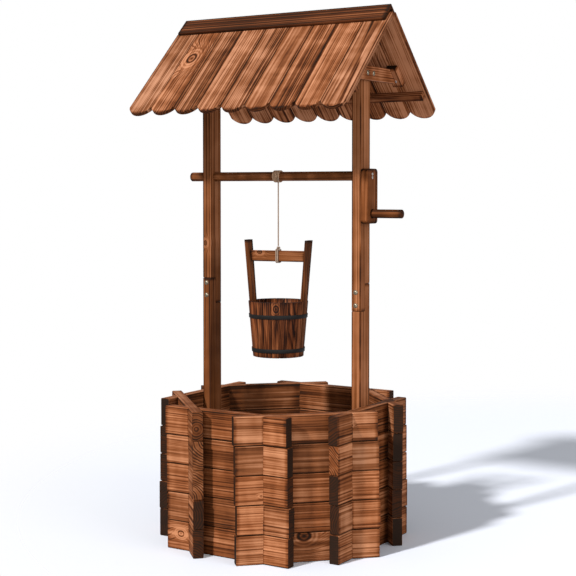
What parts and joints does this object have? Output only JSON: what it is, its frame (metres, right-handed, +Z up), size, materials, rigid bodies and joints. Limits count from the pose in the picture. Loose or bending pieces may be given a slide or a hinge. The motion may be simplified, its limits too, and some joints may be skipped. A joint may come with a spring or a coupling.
{
  "type": "wishing well planter",
  "caption": "Octagonal planter of crossed boards with two posts, a gabled roof of round-ended boards, and a crank winch that raises a staved bucket on a rope.",
  "frame": {"origin": "on the ground, in the middle of the octagonal planter", "axes": "+X along the ridge towards the crank, -Y the front, +Z up"},
  "size_m": [0.5544, 0.5308, 1.1307],
  "materials": {
    "wall_wood": "scorched and oiled softwood, matt",
    "roof_wood": "scorched and oiled softwood, matt",
    "post_wood": "scorched and stained softwood, satin",
    "bucket_wood": "dark stained softwood, satin",
    "hoop_steel": "black painted steel strip, satin",
    "rope": "twisted jute"
  },
  "bodies": {
    "well": {"wall_front": "wall_wood", "wall_front_right": "wall_wood", "wall_right": "wall_wood", "wall_back_right": "wall_wood", "wall_back": "wall_wood", "wall_back_left": "wall_wood", "wall_left": "wall_wood", "wall_front_left": "wall_wood", "floor_bearer_lower": "wall_wood", "floor_bearer_upper": "wall_wood", "floor_slat_left": "wall_wood", "floor_slat_middle": "wall_wood", "floor_slat_right": "wall_wood", "left_post_lower": "post_wood", "left_post_upper": "post_wood", "right_post_lower": "post_wood", "right_post_upper": "post_wood", "roof_front_board_1": "roof_wood", "roof_front_board_2": "roof_wood", "roof_front_board_3": "roof_wood", "roof_front_board_4": "roof_wood", "roof_front_board_5": "roof_wood", "roof_front_board_6": "roof_wood", "roof_front_board_7": "roof_wood", "roof_front_board_8": "roof_wood", "roof_front_board_9": "roof_wood", "roof_back_board_1": "roof_wood", "roof_back_board_2": "roof_wood", "roof_back_board_3": "roof_wood", "roof_back_board_4": "roof_wood", "roof_back_board_5": "roof_wood", "roof_back_board_6": "roof_wood", "roof_back_board_7": "roof_wood", "roof_back_board_8": "roof_wood", "roof_back_board_9": "roof_wood", "ridge_cap_front": "roof_wood", "ridge_cap_back": "roof_wood", "ridge_beam": "roof_wood", "eave_batten_front": "roof_wood", "eave_batten_back": "roof_wood", "gable_tie_right": "roof_wood", "gable_tie_left": "roof_wood", "roof_cleat_front_right": "roof_wood", "roof_cleat_front_left": "roof_wood", "roof_cleat_back_right": "roof_wood", "roof_cleat_back_left": "roof_wood"},
    "winch": {"winch_axle": "post_wood", "crank_arm": "post_wood", "crank_handle": "post_wood", "rope_winding": "rope"},
    "rope": {"rope_drop": "rope"},
    "bucket": {"rope_hitch": "rope", "bucket_back_staves": "bucket_wood", "bucket_front_staves": "bucket_wood", "bucket_right_handle_stave": "bucket_wood", "bucket_left_handle_stave": "bucket_wood", "bucket_floor": "bucket_wood", "bucket_lower_hoop": "hoop_steel", "bucket_upper_hoop": "hoop_steel", "bucket_bar": "bucket_wood"}
  },
  "joints": [
    {"name": "winch_turn", "type": "hinge", "parent": "well", "child": "winch", "pos_m": [0, 0, 0.779], "axis": [-1, 0, 0], "range_deg": [-1350, 530]},
    {"name": "bucket_swing", "type": "hinge", "parent": "well", "child": "rope", "pos_m": [-0.0065, -0.0118, 0.779], "axis": [1, 0, 0], "range_deg": [-10, 10]},
    {"name": "bucket_lift", "type": "slide", "parent": "rope", "child": "bucket", "axis": [0, 0, 1], "range_m": [-0.2781, 0.1092], "deforming": ["rope_drop"]}
  ],
  "couplings": [
    {"joint": "bucket_lift", "follows": "winch_turn", "m_per_rad": 0.0118}
  ]
}
